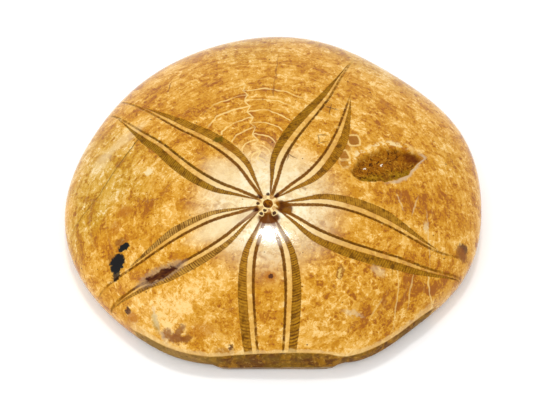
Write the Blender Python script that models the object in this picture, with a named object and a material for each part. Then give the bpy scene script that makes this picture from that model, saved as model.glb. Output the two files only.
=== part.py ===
"""Polished fossil sand dollar: one domed test with five grooved petals. Metres, +Z up.

The origin lies on the rest plane under the middle of the test. The short front petal points to -Y.
"""
import math

import bmesh
import bpy
import numpy as np

MM = 0.001
TURN = 2.0 * math.pi
NAME = "test"

# Outer form
HEIGHT = 18.5 * MM
EDGE_HEIGHT = 4.2 * MM
DOME_POWER = 1.85
APEX = np.array([-1.0, -12.1]) * MM
APEX_RADIUS = 30.0 * MM
# From the apex to the widest line, every 15 degrees from +X
OUTLINE = np.array([
    37.7, 40.3, 43.2, 44.3, 45.4, 46.8, 47.4, 45.8, 44.1, 41.7, 39.7, 38.2,
    36.0, 33.0, 30.4, 28.1, 26.5, 24.1, 23.9, 24.5, 26.9, 28.8, 30.7, 34.3,
]) * MM
OUTLINE_WAVES = 9
FRONT_FLAT_Y = -35.36 * MM
FOOT_INSET = 2.2 * MM
FLAT_FOOT_INSET = 0.6 * MM

# Petals: direction and its drift by 30 mm out (degrees), width against the common profile
PETALS = {
    "right_front": (346.0, 0.3, 1.05),
    "back_right": (59.4, 4.0, 1.02),
    "back_left": (136.3, -0.3, 0.98),
    "left_front": (208.0, -4.4, 0.80),
    "front": (270.9, 0.2, 0.98),
}
DRIFT_REACH = 30.0 * MM
PROFILE_STEP = 5.0 * MM
# Half widths at every 5 mm from the apex
LINE_OFFSET = np.array([0.0, 1.1, 2.45, 2.87, 2.6, 2.05, 1.6, 1.4, 1.3]) * MM
BAND_INNER = np.array([0.0, 1.75, 3.65, 4.1, 3.7, 2.95, 2.25, 1.9, 1.7]) * MM
BAND_OUTER = np.array([0.0, 2.2, 4.7, 5.6, 5.3, 4.15, 2.9, 2.1, 1.9]) * MM
LINE_HALF_WIDTH = 0.22 * MM
GROOVE_LIP = 0.18 * MM
BAND_DEPTH = 0.24 * MM
LINE_DEPTH = 0.2 * MM
BAND_START, BAND_END = 5.0 * MM, 28.5 * MM
LINE_START, LINE_END = 3.2 * MM, 31.0 * MM
GROOVE_FADE = 4.0 * MM
RIM_FADE = 1.5 * MM

# Hollows, each: centre x, y; half length, half width; long axis in degrees; depth
HOLLOWS = {
    "worn_dent": (20.2, -1.6, 6.7, 3.0, 20.0, 1.0),
    "petal_hollow": (-19.6, -23.3, 4.6, 1.4, 15.0, 0.6),
    "disc": (-1.0, -12.1, 1.0, 0.9, 0.0, 0.45),
    "disc_right": (1.6, -12.8, 1.6, 0.9, -25.0, 0.4),
    "disc_front": (-1.0, -15.2, 1.7, 1.1, 0.0, 0.4),
}
HOLLOW_STEEPNESS = 1.9
CHIP_DIRECTION, CHIP_SPREAD, CHIP_DEPTH = 299.5, 4.5, 0.9 * MM

# Underside
REST_BAND = 0.80
MOUTH = np.array([-0.5, -5.0]) * MM
SOLE_RISE = 2.0 * MM
MOUTH_RADIUS, MOUTH_DEPTH = 3.4 * MM, 2.2 * MM
FURROW_WIDTH, FURROW_DEPTH = 1.3 * MM, 0.4 * MM
VENT, VENT_RADIUS, VENT_DEPTH = np.array([0.0, 20.5]) * MM, 3.2 * MM, 1.2 * MM

# Grid
TOP_RINGS = 34
BASE_SHARES = (0.8, 0.76, 0.7, 0.64, 0.54, 0.43, 0.33, 0.24, 0.16, 0.1, 0.05)
GAP_COLUMNS = (12, 7, 7, 6, 7)
GATHERED = 0.1
FOLLOW_END, EVEN_REACH = 28.0 * MM, 11.0 * MM
APEX_COARSE = {1: 6, 2: 6, 3: 3, 4: 3}
MOUTH_COARSE = {1: 6, 2: 3}

COLOUR = (0.61, 0.36, 0.13, 1.0)
ROUGHNESS = 0.3


def smooth(value):
    value = np.clip(value, 0.0, 1.0)
    return value * value * (3.0 - 2.0 * value)


def outline(angle):
    """Distance from the apex to the widest line, a smooth closed curve through OUTLINE."""
    waves = np.fft.rfft(OUTLINE) / len(OUTLINE)
    total = np.full_like(angle, waves[0].real)
    for order in range(1, OUTLINE_WAVES + 1):
        total = total + 2.0 * (waves[order] * np.exp(1j * order * angle)).real
    return total


def cut_outline(angle):
    """The outline stopped at the flat across the front."""
    toward_front = np.maximum(-np.sin(angle), 1e-6)
    return np.minimum(outline(angle), (APEX[1] - FRONT_FLAT_Y) / toward_front)


def dome_height(distance, angle):
    share = np.clip(distance / outline(angle), 0.0, 1.0)
    crown = (1.0 - share ** DOME_POWER) ** (1.0 / DOME_POWER)
    return EDGE_HEIGHT + (HEIGHT - EDGE_HEIGHT) * crown


def profile(knots, distance):
    """Smooth curve through half widths given at every PROFILE_STEP."""
    place = np.clip(distance / PROFILE_STEP, 0.0, len(knots) - 1.001)
    low = place.astype(int)
    part = place - low
    a, b, c, d = (knots[np.clip(low + k, 0, len(knots) - 1)] for k in (-1, 0, 1, 2))
    bend = (2.0 * a - 5.0 * b + 4.0 * c - d) * part + (3.0 * (b - c) + d - a) * part * part
    return b + 0.5 * part * ((c - a) + bend)


def petal_angle(petal, distance):
    degrees, drift, _ = petal
    return np.radians(degrees + drift * (distance / DRIFT_REACH) ** 2.5)


def petal_offsets(scale, distance):
    """Columns across one petal: both grooves' lips and floors on each side, and the middle."""
    line = scale * profile(LINE_OFFSET, distance)
    inner = scale * profile(BAND_INNER, distance)
    outer = scale * profile(BAND_OUTER, distance)
    lip = np.minimum(GROOVE_LIP, 0.3 * (outer - inner))
    half = np.minimum(LINE_HALF_WIDTH, 0.3 * line)
    side = [line - half, line, line + half, inner, inner + lip, outer - lip, outer]
    return [-offset for offset in reversed(side)] + [0.0 * distance] + side


def gap_shares(count, gathered):
    """Shares of the way across the gap between two petals, closer together at its middle if gathered."""
    even = np.arange(1, count + 1) / (count + 1.0)
    return even + gathered * np.sin(TURN * even)


def column_angles(distance):
    """Angles of all columns at each column's own distance; they follow the petals' edges."""
    petals = list(PETALS.values())
    angles = []
    index = 0
    for number, petal in enumerate(petals):
        offsets = petal_offsets(petal[2], distance)
        following = petals[(number + 1) % len(petals)]
        near_edge = petal_angle(petal, distance) + offsets[-1] / distance
        far_edge = petal_angle(following, distance)
        far_edge = far_edge + petal_offsets(following[2], distance)[0] / distance
        far_edge = near_edge + (far_edge - near_edge) % TURN
        for offset in offsets:
            angles.append((petal_angle(petal, distance) + offset / distance)[index])
            index += 1
        gathered = GATHERED if number == 0 else 0.0
        for share in gap_shares(GAP_COLUMNS[number], gathered):
            angles.append((near_edge + share * (far_edge - near_edge))[index])
            index += 1
    return np.unwrap(np.array(angles))


def column_count():
    return sum(GAP_COLUMNS) + len(PETALS) * 15


def even_angles():
    start = math.radians(PETALS["right_front"][0]) - 7.0 * TURN / column_count()
    return start + np.arange(column_count()) * TURN / column_count()


def ring_plan(share):
    """Distance and angle of every column on one ring; far out the columns spread evenly."""
    angle = even_angles()
    for _ in range(16):
        reach = cut_outline(angle)
        distance = share * (APEX_RADIUS + (reach - APEX_RADIUS) * share)
        spread = 0.85 * smooth((distance - FOLLOW_END) / EVEN_REACH)
        angle = (1.0 - spread) * column_angles(distance) + spread * even_angles()
    return distance, angle


def fade(distance, start, end):
    return smooth((distance - start) / GROOVE_FADE) * smooth((end - distance) / GROOVE_FADE)


def groove(distance, angle):
    """Depth of the petals' bands and inner lines."""
    depth = 0.0 * distance
    for petal in PETALS.values():
        away = (angle - petal_angle(petal, distance) + math.pi) % TURN - math.pi
        across = np.abs(away) * distance
        line = petal[2] * profile(LINE_OFFSET, distance)
        inner = petal[2] * profile(BAND_INNER, distance)
        outer = petal[2] * profile(BAND_OUTER, distance)
        lip = np.minimum(GROOVE_LIP, 0.3 * (outer - inner))
        band = smooth((across - inner) / lip) * smooth((outer - across) / lip)
        thin = smooth(1.0 - np.abs(across - line) / LINE_HALF_WIDTH)
        depth = depth + BAND_DEPTH * band * fade(distance, BAND_START, BAND_END)
        depth = depth + LINE_DEPTH * thin * fade(distance, LINE_START, LINE_END)
    return depth


def hollow(x, y):
    """Depth of the worn hollows and of the pits round the apical disc."""
    depth = 0.0 * x
    for centre_x, centre_y, length, width, degrees, deep in HOLLOWS.values():
        turn = math.radians(degrees)
        east, north = x - centre_x * MM, y - centre_y * MM
        along = (east * math.cos(turn) + north * math.sin(turn)) / (length * MM)
        across = (north * math.cos(turn) - east * math.sin(turn)) / (width * MM)
        depth = depth + deep * MM * smooth(HOLLOW_STEEPNESS * (1.0 - np.hypot(along, across)))
    return depth


def to_plan(distance, angle):
    return APEX[0] + distance * np.cos(angle), APEX[1] + distance * np.sin(angle)


def dome_normal(distance, angle):
    step = 0.05 * MM
    x, y = to_plan(distance, angle)

    def height_at(px, py):
        east, north = px - APEX[0], py - APEX[1]
        return dome_height(np.hypot(east, north), np.arctan2(north, east))

    slope_x = (height_at(x + step, y) - height_at(x - step, y)) / (2.0 * step)
    slope_y = (height_at(x, y + step) - height_at(x, y - step)) / (2.0 * step)
    normal = np.stack([-slope_x, -slope_y, np.ones_like(x)], axis=-1)
    return normal / np.linalg.norm(normal, axis=-1, keepdims=True)


def dome_ring(share):
    """Points of one ring of the dome, grooves and hollows pressed in along the normal."""
    distance, angle = ring_plan(share)
    x, y = to_plan(distance, angle)
    points = np.stack([x, y, dome_height(distance, angle)], axis=-1)
    rim = smooth((cut_outline(angle) - distance) / RIM_FADE)
    depth = rim * groove(distance, angle) + hollow(x, y)
    return points - dome_normal(distance, angle) * depth[:, None]


def foot_ring(share, angle):
    """Points between the dome's edge (share 0) and the rest plane (share 1)."""
    reach = cut_outline(angle)
    edge = dome_height(reach, angle)
    flat = smooth((edge - EDGE_HEIGHT) / (1.5 * MM))
    inset = FOOT_INSET + (FLAT_FOOT_INSET - FOOT_INSET) * flat
    swing = share * math.pi / 2.0
    distance = reach - inset * (1.0 - math.cos(swing))
    height = edge * (1.0 - math.sin(swing))
    aside = np.degrees(angle) % 360.0 - CHIP_DIRECTION
    chip = np.exp(-(aside / CHIP_SPREAD) ** 2) * math.sin(swing)
    distance = distance - CHIP_DEPTH * chip * (1.0 + 0.4 * np.sin(2.7 * aside))
    x, y = to_plan(distance, angle)
    return np.stack([x, y, height], axis=-1)


def base_height(x, y, share):
    """Height of the underside: flat rest band, hollowed sole, mouth, furrows and vent."""
    inward = np.clip(1.0 - share / REST_BAND, 0.0, 1.0)
    height = SOLE_RISE * smooth(inward)
    from_mouth = np.hypot(x - MOUTH[0], y - MOUTH[1])
    height = height + MOUTH_DEPTH * smooth(1.3 * (1.0 - from_mouth / MOUTH_RADIUS))
    bearing = np.arctan2(y - MOUTH[1], x - MOUTH[0])
    for degrees, _, _ in PETALS.values():
        away = (bearing - math.radians(degrees) + math.pi) % TURN - math.pi
        across = np.abs(away) * from_mouth
        furrow = smooth(1.0 - across / FURROW_WIDTH) * smooth(4.0 * inward)
        height = height + FURROW_DEPTH * furrow * smooth(from_mouth / MOUTH_RADIUS - 0.6)
    from_vent = np.hypot(x - VENT[0], y - VENT[1])
    return height + VENT_DEPTH * smooth(1.4 * (1.0 - from_vent / VENT_RADIUS)) * (share < REST_BAND)


def base_ring(share, foot):
    """Points of one ring of the underside, share 1 at the foot and 0 at the mouth."""
    plan = MOUTH + share * (foot[:, :2] - MOUTH)
    height = base_height(plan[:, 0], plan[:, 1], share)
    return np.column_stack([plan, height])


def all_rings():
    """Rings from next to the apex, over the edge, to next to the mouth."""
    rings = [dome_ring(step / TOP_RINGS) for step in range(1, TOP_RINGS + 1)]
    _, edge_angle = ring_plan(1.0)
    rings += [foot_ring(share, edge_angle) for share in (0.35, 0.65, 1.0)]
    foot = rings[-1]
    rings += [base_ring(share, foot) for share in BASE_SHARES]
    return rings


def pole_points():
    apex = np.array([APEX[0], APEX[1], HEIGHT - float(hollow(APEX[0], APEX[1]))])
    centre = float(base_height(MOUTH[0], MOUTH[1], 0.0))
    return apex, np.array([MOUTH[0], MOUTH[1], centre])


def shaped_sphere():
    """A globe whose vertices are moved ring by ring onto the test."""
    rings = all_rings()
    columns = column_count()
    sphere = bmesh.new()
    bmesh.ops.create_uvsphere(sphere, u_segments=columns, v_segments=len(rings) + 1, radius=1.0)
    apex, mouth = pole_points()
    grid = {}
    for vertex in sphere.verts:
        ring = round(math.acos(max(-1.0, min(1.0, vertex.co.z))) / math.pi * (len(rings) + 1))
        bearing = math.atan2(-vertex.co.x, vertex.co.y)
        column = round(bearing / TURN * columns) % columns
        if ring == 0:
            vertex.co = apex
        elif ring == len(rings) + 1:
            vertex.co = mouth
        else:
            grid[ring, column] = vertex
            vertex.co = rings[ring - 1][column]
    thin_out(sphere, grid, len(rings))
    return sphere


def thin_out(sphere, grid, ring_count):
    """Merges neighbours on the small rings about the apex and the mouth."""
    coarse = dict(APEX_COARSE)
    coarse.update({ring_count + 1 - ring: every for ring, every in MOUTH_COARSE.items()})
    target = {}
    for (ring, column), vertex in grid.items():
        every = coarse.get(ring, 1)
        keeper = column - column % every
        if keeper != column:
            target[vertex] = grid[ring, keeper]
    bmesh.ops.weld_verts(sphere, targetmap=target)


def fossil_material():
    material = bpy.data.materials.new("polished_fossil")
    material.use_nodes = True
    shader = material.node_tree.nodes["Principled BSDF"]
    shader.inputs["Base Color"].default_value = COLOUR
    shader.inputs["Roughness"].default_value = ROUGHNESS
    material.diffuse_color = COLOUR
    return material


def clear_scene():
    for thing in list(bpy.data.objects):
        bpy.data.objects.remove(thing, do_unlink=True)


def build():
    clear_scene()
    collection = bpy.data.collections.new("fossil_sand_dollar")
    bpy.context.scene.collection.children.link(collection)
    sphere = shaped_sphere()
    bmesh.ops.recalc_face_normals(sphere, faces=sphere.faces)
    mesh = bpy.data.meshes.new(NAME)
    sphere.to_mesh(mesh)
    sphere.free()
    for face in mesh.polygons:
        face.use_smooth = True
    mesh.materials.append(fossil_material())
    collection.objects.link(bpy.data.objects.new(NAME, mesh))


build()
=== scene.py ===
"""Looks of the polished fossil sand dollar: a fine mesh of the test and its procedural stone."""

from functools import partial, reduce
from math import atan2, cos, degrees as in_degrees, hypot, pi, radians, sin

import bpy
import numpy as np
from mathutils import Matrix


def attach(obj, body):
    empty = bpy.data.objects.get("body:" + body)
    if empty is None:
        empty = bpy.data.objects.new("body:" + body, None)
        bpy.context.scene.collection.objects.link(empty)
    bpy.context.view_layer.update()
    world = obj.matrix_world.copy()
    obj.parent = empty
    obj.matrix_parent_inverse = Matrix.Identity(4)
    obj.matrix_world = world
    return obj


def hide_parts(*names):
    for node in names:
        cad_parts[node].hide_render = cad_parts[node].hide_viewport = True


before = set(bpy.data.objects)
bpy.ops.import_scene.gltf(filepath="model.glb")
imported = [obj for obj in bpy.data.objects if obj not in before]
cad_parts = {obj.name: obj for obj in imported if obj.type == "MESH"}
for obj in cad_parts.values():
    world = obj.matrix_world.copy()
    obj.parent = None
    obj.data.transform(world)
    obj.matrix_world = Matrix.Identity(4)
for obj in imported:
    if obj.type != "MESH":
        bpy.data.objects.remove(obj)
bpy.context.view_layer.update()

# All lengths below are millimetres in the row frame, unless a name says otherwise
MM = 0.001
TURN = 2 * pi

# Outer form
HEIGHT = 18.5
EDGE_HEIGHT = 4.2
DOME_POWER = 1.85
APEX = np.array([-1, -12.1])
OUTLINE = np.array([
    37.7, 40.3, 43.2, 44.3, 45.4, 46.8, 47.4, 45.8, 44.1, 41.7, 39.7, 38.2,
    36, 33, 30.4, 28.1, 26.5, 24.1, 23.9, 24.5, 26.9, 28.8, 30.7, 34.3,
])
OUTLINE_WAVES = 9
FRONT_FLAT_Y = -35.36
FOOT_INSET = 2.2
FLAT_FOOT_INSET = 0.6
CREST_ROUND = 0.3
# The crest above the front and lower side walls: where it starts and ends (degrees),
# its rise, the slope above it and how softly they meet
CREST_START, CREST_END, CREST_FADE = 210, 343, 16
CREST_RISE, CREST_SLOPE, CREST_BLEND = 1.3, 1.25, 0.4

# Petals from the right one counter-clockwise: direction, its drift by 30 mm out (degrees),
# width against the common profile, far bend (degrees for each square mm beyond
# FAR_START) and far widening
PETALS = (
    (346, 0.3, 1.05, 0.065, 0), (59.4, 4, 1.02, 0, 0), (136.3, -0.3, 0.98, -0.009, 0.4),
    (208, -4.4, 0.8, 0, 0.3), (270.9, 0.2, 0.98, 0, 0),
)
DRIFT_REACH, DRIFT_POWER, DRIFT_SETTLE = 30, 2.5, 8
FAR_START, FAR_LIMIT = 27, 9
# Where the bands and the inner lines end (mm out): clockwise side, counter-clockwise side
BAND_ENDS = ((36, 30.5), (30, 40), (34.5, 37), (26, 30.5), (70, 70))
LINE_ENDS = ((38, 37), (32.5, 42.5), (44, 42.5), (34.5, 36.5), (70, 70))
# Shares of olive, of pale ground and of slits in each band, in the same order
BAND_SHARES = {
    "olive": ((0.45, 0.35), (0.1, 0.5), (0.25, 0.85), (0.2, 0.3), (0.15, 0.3)),
    "pale_ground": ((0.1, 0.2), (0.1, 0.05), (0.15, 0.1), (0.9, 0.5), (0.15, 0.1)),
    "slit_share": ((0.6, 0.55), (0.55, 0.8), (0.65, 0.75), (1, 0.95), (0.85, 1)),
}
PROFILE_STEP = 5
LINE_OFFSET = np.array([0, 1.1, 2.45, 2.87, 2.6, 2.05, 1.6, 1.4, 1.3])
BAND_INNER = np.array([0, 1.75, 3.65, 4.1, 3.7, 2.95, 2.25, 1.9, 1.7])
BAND_OUTER = np.array([0, 2.25, 4.75, 5.65, 5.4, 4.3, 3.05, 2.25, 2])
LINE_HALF_WIDTH = 0.22
BAND_LIP = 0.16
BAND_DEPTH, SLIT_DEPTH, SLIT_PITCH = 0.1, 0.12, 0.39
LINE_DEPTH, BEAD_DEPTH = 0.12, 0.04
BAND_START, LINE_START = 1.3, 1.3
BAND_TAPER, LINE_FADE = 9, 10

# Points round the edge of the worn dent
DENT_CENTRE = (20.3, -1.8)
DENT_EDGE = (
    (13.3, -4.2), (14, -3), (14.9, -1.5), (16.5, 0.3), (18.6, 1.6), (20.6, 2.3), (22.2, 2.5), (24.1, 2.5),
    (25.5, 2.4), (27, 1.2), (25.8, -0.4), (24.4, -2.3), (22.9, -4.4), (20.7, -5.1), (18.9, -5.7),
    (16.7, -6.2), (15.1, -5.9), (13.9, -5.2),
)
DENT_DEPTH = 0.8

# Hollows, each: centre x, y; half length, half width; long axis in degrees; depth; steepness
HOLLOWS = {
    "petal_hollow": (-19.6, -23.3, 4.6, 1.2, 15, 0.6, 2.2),
    "disc_pit": (-1, -12.05, 0.95, 0.95, 0, 0.35, 3),
    "disc_right": (1.6, -12.7, 1.5, 1, -30, 0.4, 2.5),
    "disc_front": (-0.9, -15, 1.7, 1.1, 0, 0.35, 2.5),
}
# Hollows longer than this have a ragged edge and a rough floor
LARGE = 3
# Pores of the disc: x, y, and how pale the ring round each is
DISC_PORES = (
    (-1, -10.05, 0), (-2.25, -10.75, 0), (-1.57, -13.45, 0.9), (-2.2, -14.05, 0.9), (0.1, -13.95, 0.7),
    (-2.75, -12, 0.3), (-2.95, -13.3, 0), (0.4, -10.45, 0),
)
DISC_PORE_RADIUS, DISC_PORE_DEPTH = 0.3, 0.22
CHIP_DIRECTION, CHIP_SPREAD, CHIP_DEPTH = 299.5, 4.5, 0.9

# Underside
REST_BAND = 0.8
MOUTH = np.array([-0.5, -5])
SOLE_RISE = 2
MOUTH_RADIUS, MOUTH_DEPTH = 3.4, 2.2
FURROW_WIDTH, FURROW_DEPTH = 1.3, 0.4
VENT, VENT_RADIUS, VENT_DEPTH = np.array([0, 20.5]), 3.2, 1.2

# Grid
DISC_RINGS = np.arange(0.12, 4.4, 0.14)
PETAL_RINGS = np.arange(4.5, 28.65, 0.1)
OUTER_RINGS = 26
FOOT_SHARES = (0.04, 0.1, 0.18, 0.28, 0.4, 0.52, 0.64, 0.76, 0.88, 1)
SOLE_SHARES = np.concatenate([np.linspace(0.97, 0.8, 4), np.linspace(0.77, 0.03, 24)])
GAP_COLUMNS = (46, 21, 21, 20, 21)
DENT_GATHERED, PLAIN_GATHERED = 0.6, 0.15
# A bent column's rings are found in a few passes from this distance
COLUMN_START, COLUMN_PASSES = 20.0, 8
# Random numbers along each side of the surface noise's table, and the one read at the origin
TABLE, TABLE_ORIGIN = 97, 31


def smooth(value):
    value = np.clip(value, 0, 1)
    return value * value * (3 - 2 * value)


def bumps(x, y, size, seed):
    """Smooth noise from -1 to 1 on a square lattice of the given size."""
    table = np.random.default_rng(seed).uniform(-1, 1, (TABLE, TABLE))
    u, v = x / size + TABLE_ORIGIN, y / size + TABLE_ORIGIN
    i, j = np.floor(u).astype(int), np.floor(v).astype(int)
    s, t = smooth(u - i), smooth(v - j)
    near, far = (
        table[i % TABLE, k % TABLE] * (1 - s) + table[(i + 1) % TABLE, k % TABLE] * s for k in (j, j + 1)
    )
    return near * (1 - t) + far * t


def outline(angle):
    waves = np.fft.rfft(OUTLINE) / len(OUTLINE)
    total = np.full_like(angle, waves[0].real)
    for order in range(1, OUTLINE_WAVES + 1):
        total = total + 2 * (waves[order] * np.exp(1j * order * angle)).real
    return total


def cut_outline(angle):
    toward_front = np.maximum(-np.sin(angle), 1e-6)
    return np.minimum(outline(angle), (APEX[1] - FRONT_FLAT_Y) / toward_front)


def crest_window(angle):
    """1 where a crest stands above a side wall, 0 round the rest of the margin."""
    degrees = np.degrees(angle) % 360
    return smooth((degrees - CREST_START) / CREST_FADE) * smooth((CREST_END - degrees) / CREST_FADE)


def plain_dome(radius, angle, base):
    share = np.clip(radius / outline(angle), 0, 1)
    crown = (1 - share ** DOME_POWER) ** (1 / DOME_POWER)
    return base + (HEIGHT - base) * crown


def dome_height(radius, angle):
    """Height of the top; near a crest it is held below a slope that rises inward from the crest."""
    window = crest_window(angle)
    base = EDGE_HEIGHT + CREST_RISE * window
    reach = cut_outline(angle)
    crest = np.maximum(base, plain_dome(reach, angle, EDGE_HEIGHT))
    slope = crest + CREST_SLOPE * (reach - radius) + 6 * (1 - window)
    dome = plain_dome(radius, angle, base)
    lower = np.minimum(dome, slope)
    return lower - CREST_BLEND * np.log1p(np.exp(-np.abs(dome - slope) / CREST_BLEND))


def profile(knots, radius):
    place = np.clip(radius / PROFILE_STEP, 0, len(knots) - 1.001)
    first = place.astype(int)
    part = place - first
    a, b, c, d = (knots[np.clip(first + k, 0, len(knots) - 1)] for k in (-1, 0, 1, 2))
    bend = (2 * a - 5 * b + 4 * c - d) * part + (3 * (b - c) + d - a) * part * part
    return b + 0.5 * part * ((c - a) + bend)


def petal_angle(petal, radius):
    degrees, drift, _, bend, _ = petal
    within = np.minimum(radius, DRIFT_REACH) / DRIFT_REACH
    beyond = np.maximum(radius - DRIFT_REACH, 0)
    settled = 1 - np.exp(-beyond / DRIFT_SETTLE)
    further = drift * DRIFT_POWER / DRIFT_REACH * DRIFT_SETTLE * settled
    drifted = degrees + drift * within ** DRIFT_POWER + further
    far = np.maximum(radius - FAR_START, 0)
    return np.radians(drifted + bend * far * np.minimum(far, FAR_LIMIT))


def half_widths(petal, radius):
    scale = petal[2] * (1 + petal[4] * smooth((radius - 23) / 10))
    return [scale * profile(knots, radius) for knots in (LINE_OFFSET, BAND_INNER, BAND_OUTER)]


def side_offsets(petal, radius):
    """Columns on one side of a petal, from next to its middle to just outside its band."""
    line, inner, outer = half_widths(petal, radius)
    strip, width = inner - line, outer - inner
    lip = np.minimum(0.1, 0.2 * width)
    half = np.minimum(np.minimum(LINE_HALF_WIDTH, 0.3 * line), 0.4 * strip)
    return [
        0.33 * line, 0.66 * line, line - 1.3 * half, line - 0.5 * half, line, line + 0.5 * half,
        line + 1.3 * half, line + 0.6 * strip, inner - 0.6 * lip, inner + 0.6 * lip,
        inner + 0.3 * width, inner + 0.5 * width, inner + 0.7 * width,
        outer - 0.6 * lip, outer + 0.6 * lip,
    ]


SIDE_COLUMNS = 15


def column_plan():
    """For each column: its petal's number and its place across the petal or the gap after it."""
    plan = []
    for number, count in enumerate(GAP_COLUMNS):
        plan += [(number, "petal", place) for place in range(-SIDE_COLUMNS, SIDE_COLUMNS + 1)]
        even = np.arange(1, count + 1) / (count + 1)
        gathered = DENT_GATHERED if number == 0 else PLAIN_GATHERED
        shares = even + gathered * np.sin(TURN * even) / TURN
        plan += [(number, "gap", share) for share in shares]
    return plan


def gap_edges(number, radius):
    """Angles of the band edges on both sides of the gap after a petal."""
    petal, following = PETALS[number], PETALS[(number + 1) % len(PETALS)]
    near = petal_angle(petal, radius) + side_offsets(petal, radius)[-1] / radius
    far = petal_angle(following, radius) - side_offsets(following, radius)[-1] / radius
    return near, near + (far - near) % TURN


def column_angle(column, radius):
    number, kind, place = column
    petal = PETALS[number]
    if kind == "gap":
        near, far = gap_edges(number, radius)
        return near + place * (far - near)
    if place == 0:
        return petal_angle(petal, radius)
    offset = side_offsets(petal, radius)[abs(place) - 1]
    return petal_angle(petal, radius) + np.sign(place) * offset / radius


def ring_distances(reach):
    """Distances of one column's rings from the apex: even across the petals, then to the edge."""
    inner = np.concatenate([DISC_RINGS, PETAL_RINGS])
    shrink = np.minimum(1, 0.955 * reach[:len(inner)] / PETAL_RINGS[-1])
    inner = inner * shrink
    share = np.arange(1, OUTER_RINGS + 1) / OUTER_RINGS
    share = 1 - (1 - share) ** 1.6
    last = inner[-1]
    return np.concatenate([inner, last + share * (reach[len(inner):] - last)])


def dome_grid():
    """Distance and angle of every point of the dome, one row for each ring."""
    rows = len(DISC_RINGS) + len(PETAL_RINGS) + OUTER_RINGS
    plan = column_plan()
    radius = np.zeros((rows, len(plan)))
    angle = np.zeros_like(radius)
    for index, column in enumerate(plan):
        own = np.full(rows, COLUMN_START)
        for _ in range(COLUMN_PASSES):
            bearing = column_angle(column, own)
            own = ring_distances(cut_outline(bearing))
        radius[:, index], angle[:, index] = own, column_angle(column, own)
    return radius, angle


def by_side(number, signed, table):
    """A value for each petal's clockwise or counter-clockwise side."""
    value = np.zeros_like(signed)
    for index, (minus, plus) in enumerate(table):
        value = np.where(number == index, np.where(signed < 0, minus, plus), value)
    return value


def tapering(radius, number, signed):
    """1 along most of a band, falling to 0 at its tip."""
    end = by_side(number, signed, BAND_ENDS)
    return np.clip((end - radius) / BAND_TAPER, 0, 1) ** 0.7


def reaches(radius, number, signed):
    """Shares from 0 to 1 of how strong the band and the inner line are at each point."""
    line_end = by_side(number, signed, LINE_ENDS)
    band = smooth((radius - BAND_START) / 1.5) * smooth(4 * tapering(radius, number, signed))
    line = smooth((radius - LINE_START) / 1.2) * np.clip((line_end - radius) / LINE_FADE, 0, 1)
    return band, line


def petal_measures(radius, angle):
    """Distance across, side, half widths and number of the petal nearest to every point."""
    nearest = np.full((6,) + radius.shape, np.inf)
    for index, petal in enumerate(PETALS):
        away = (angle - petal_angle(petal, radius) + pi) % TURN - pi
        across = np.abs(away) * radius
        own = [across, np.sign(away), *half_widths(petal, radius), np.full_like(radius, index)]
        nearest = np.where(across < nearest[0], own, nearest)
    across, signed, line, inner, outer, number = nearest
    full = tapering(radius, number, signed)
    width = (outer - inner) * full
    inner = inner - 0.55 * (1 - full) * (inner - line)
    return across, signed, line, inner, inner + width, number


def gap_measures(radius, angle):
    """Share across the gap from -1 to 1, the distance from its middle, and its number."""
    found = np.zeros((3,) + radius.shape)
    found[0] = 1
    for index in range(len(PETALS)):
        near, far = gap_edges(index, radius)
        inside = (angle - near) % TURN
        share = 2 * inside / (far - near) - 1
        own = [share, share * 0.5 * (far - near) * radius, np.full_like(radius, index)]
        found = np.where(inside < far - near, own, found)
    return found


def groove(radius, angle):
    """Depth of the petals' bands with their slits, and of the inner rows of pores."""
    across, signed, line, inner, outer, number = petal_measures(radius, angle)
    band_reach, line_reach = reaches(radius, number, signed)
    lip = np.clip(0.3 * (outer - inner), 0.01, BAND_LIP)
    band = smooth((across - inner) / lip) * smooth((outer - across) / lip) * band_reach
    phase = radius / SLIT_PITCH
    slit = (0.5 - 0.5 * np.cos(TURN * phase)) * by_side(number, signed, BAND_SHARES["slit_share"])
    uneven = 0.75 + 0.25 * bumps(phase * 0.9 + 7 * number, signed * 3, 1, 11)
    depth = band * smooth(radius / 6) * (BAND_DEPTH + SLIT_DEPTH * slit * uneven)
    thin = smooth(1.15 - np.abs(across - line) / LINE_HALF_WIDTH) * line_reach
    bead = 0.5 + 0.5 * np.sin(TURN * radius / (2 * SLIT_PITCH) + signed)
    return depth + thin * smooth((radius - 5) / 5) * (LINE_DEPTH + BEAD_DEPTH * bead)


def dent_inside(x, y):
    """Distance inside the worn dent's edge, below 0 outside it."""
    edge = np.array(DENT_EDGE) - DENT_CENTRE
    bearing = np.arctan2(edge[:, 1], edge[:, 0])
    order = np.argsort(bearing)
    east, north = x - DENT_CENTRE[0], y - DENT_CENTRE[1]
    far = np.interp(np.arctan2(north, east), bearing[order], np.hypot(*edge.T)[order], period=TURN)
    ragged = 0.25 * bumps(x, y, 1.4, 3) + 0.15 * bumps(x, y, 0.55, 4)
    return far - np.hypot(east, north) + ragged


def dent_depth(x, y):
    """Steep at its lower right side, gentler at its upper left."""
    inside = dent_inside(x, y)
    lower = smooth(0.5 + ((x - DENT_CENTRE[0]) * 0.6 - (y - DENT_CENTRE[1]) * 0.8) / 4)
    fall = smooth(inside / (1.3 - 0.7 * lower))
    rough = 0.16 * bumps(x, y, 1.2, 6) + 0.12 * bumps(x, y, 0.5, 5)
    return fall * (DENT_DEPTH + rough)


def ellipse(x, y, spot):
    """0 at a spot's middle, 1 at its rim; a spot starts with x, y, half length, half width, degrees."""
    centre_x, centre_y, length, width, degrees = spot[:5]
    turn = radians(degrees)
    east, north = x - centre_x, y - centre_y
    along = (east * cos(turn) + north * sin(turn)) / length
    across = (north * cos(turn) - east * sin(turn)) / width
    return np.hypot(along, across)


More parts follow.
